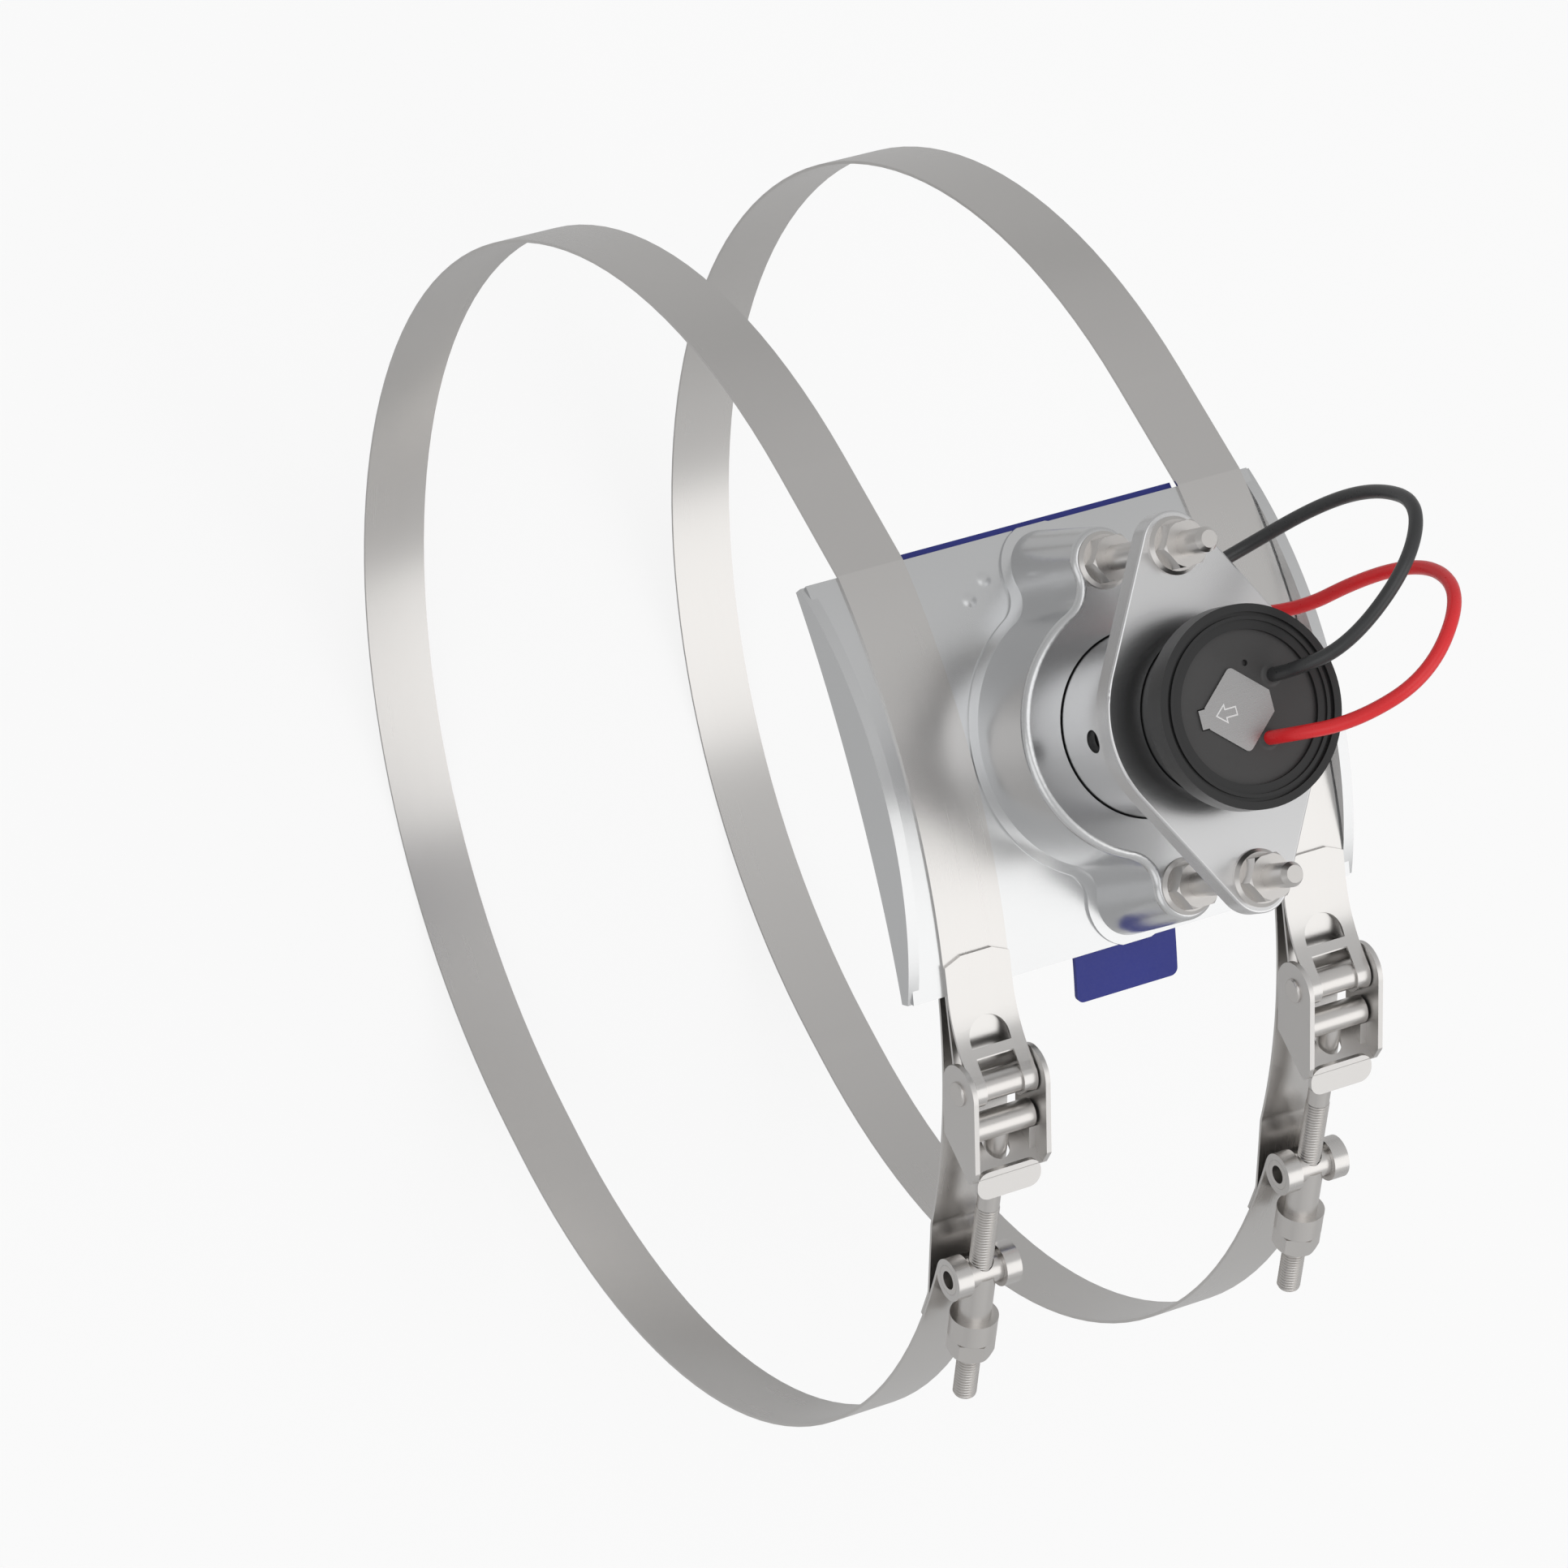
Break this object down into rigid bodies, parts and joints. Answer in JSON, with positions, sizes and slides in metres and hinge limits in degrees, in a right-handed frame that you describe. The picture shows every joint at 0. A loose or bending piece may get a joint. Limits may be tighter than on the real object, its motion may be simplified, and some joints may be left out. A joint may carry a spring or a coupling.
{
  "type": "insertion ultrasonic flow sensor with strap-on saddle",
  "caption": "Black insertion flow sensor in a stainless saddle with a rubber gasket, held round a pipe by stainless band clamps with latches and swing bolts; black and red leads.",
  "frame": {"origin": "on the axis of the pipe that the saddle and bands are bent to, under the middle of the sensor", "axes": "+X along the pipe, +Z outward along the sensor and its probe, latches and bolts of the clamps on the -Y side"},
  "size_m": [0.14, 0.3324, 0.439],
  "materials": {
    "saddle_steel": "pressed stainless sheet, satin",
    "band_steel": "rolled stainless strip, brushed along its length",
    "latch_steel": "pressed stainless, polished",
    "fastener_steel": "bright stainless fasteners",
    "flange_steel": "machined stainless, fine turned",
    "body_plastic": "turned black engineering plastic",
    "potting": "cast black potting resin",
    "gasket_rubber": "dark blue sheet rubber",
    "ring_rubber": "black moulded rubber",
    "tag_metal": "bare metal plate",
    "board": "circuit board with parts",
    "transducer_ceramic": "fired piezo ceramic",
    "black_insulation": "soft black lead insulation",
    "red_insulation": "soft red lead insulation"
  },
  "bodies": {
    "sensor_mount": {"saddle": "saddle_steel", "gasket": "gasket_rubber", "spacer_collar": "flange_steel", "flange_plate": "flange_steel", "sensor_body": "body_plastic", "potting_disc": "potting", "tag_plate": "tag_metal", "circuit_board": "board", "upper_o_ring": "ring_rubber", "lower_o_ring": "ring_rubber", "upstream_transducer": "transducer_ceramic", "downstream_transducer": "transducer_ceramic", "black_lead": "black_insulation", "red_lead": "red_insulation", "upper_stud": "fastener_steel", "upper_saddle_nut": "fastener_steel", "upper_flange_nut": "fastener_steel", "lower_stud": "fastener_steel", "lower_saddle_nut": "fastener_steel", "lower_flange_nut": "fastener_steel", "left_band": "band_steel", "left_tongue": "band_steel", "left_pin_sleeve": "fastener_steel", "right_band": "band_steel", "right_tongue": "band_steel", "right_pin_sleeve": "fastener_steel"},
    "left_latch_lever": {"left_latch": "latch_steel", "left_latch_pin": "fastener_steel"},
    "left_swing_bolt": {"left_t_bolt": "fastener_steel", "left_trunnion": "fastener_steel"},
    "left_loose_washer": {"left_washer": "fastener_steel"},
    "left_tension_nut": {"left_clamp_nut": "fastener_steel"},
    "right_latch_lever": {"right_latch": "latch_steel", "right_latch_pin": "fastener_steel"},
    "right_swing_bolt": {"right_t_bolt": "fastener_steel", "right_trunnion": "fastener_steel"},
    "right_loose_washer": {"right_washer": "fastener_steel"},
    "right_tension_nut": {"right_clamp_nut": "fastener_steel"}
  },
  "joints": [
    {"name": "left_latch_hinge", "type": "hinge", "parent": "sensor_mount", "child": "left_latch_lever", "pos_m": [-0.0474, -0.07957, 0.15357], "axis": [-1, 0, 0], "range_deg": [0, 110]},
    {"name": "left_bolt_swing", "type": "hinge", "parent": "sensor_mount", "child": "left_swing_bolt", "pos_m": [-0.0474, -0.12883, 0.11714], "axis": [-1, 0, 0], "range_deg": [0, 4]},
    {"name": "left_nut_travel", "type": "slide", "parent": "left_swing_bolt", "child": "left_loose_washer", "axis": [0, -0.7749, -0.632], "range_m": [0, 0.012]},
    {"name": "left_nut_spin", "type": "hinge", "parent": "left_loose_washer", "child": "left_tension_nut", "pos_m": [-0.0474, -0.12883, 0.11714], "axis": [0, -0.7749, -0.632], "range_deg": [0, 4763]},
    {"name": "right_latch_hinge", "type": "hinge", "parent": "sensor_mount", "child": "right_latch_lever", "pos_m": [0.0541, -0.07957, 0.15357], "axis": [-1, 0, 0], "range_deg": [0, 110]},
    {"name": "right_bolt_swing", "type": "hinge", "parent": "sensor_mount", "child": "right_swing_bolt", "pos_m": [0.0541, -0.12883, 0.11714], "axis": [-1, 0, 0], "range_deg": [0, 4]},
    {"name": "right_nut_travel", "type": "slide", "parent": "right_swing_bolt", "child": "right_loose_washer", "axis": [0, -0.7749, -0.632], "range_m": [0, 0.012]},
    {"name": "right_nut_spin", "type": "hinge", "parent": "right_loose_washer", "child": "right_tension_nut", "pos_m": [0.0541, -0.12883, 0.11714], "axis": [0, -0.7749, -0.632], "range_deg": [0, 4763]}
  ],
  "couplings": [
    {"joint": "left_nut_travel", "follows": "left_nut_spin", "m_per_rad": 0.00014435},
    {"joint": "right_nut_travel", "follows": "right_nut_spin", "m_per_rad": 0.00014435}
  ]
}
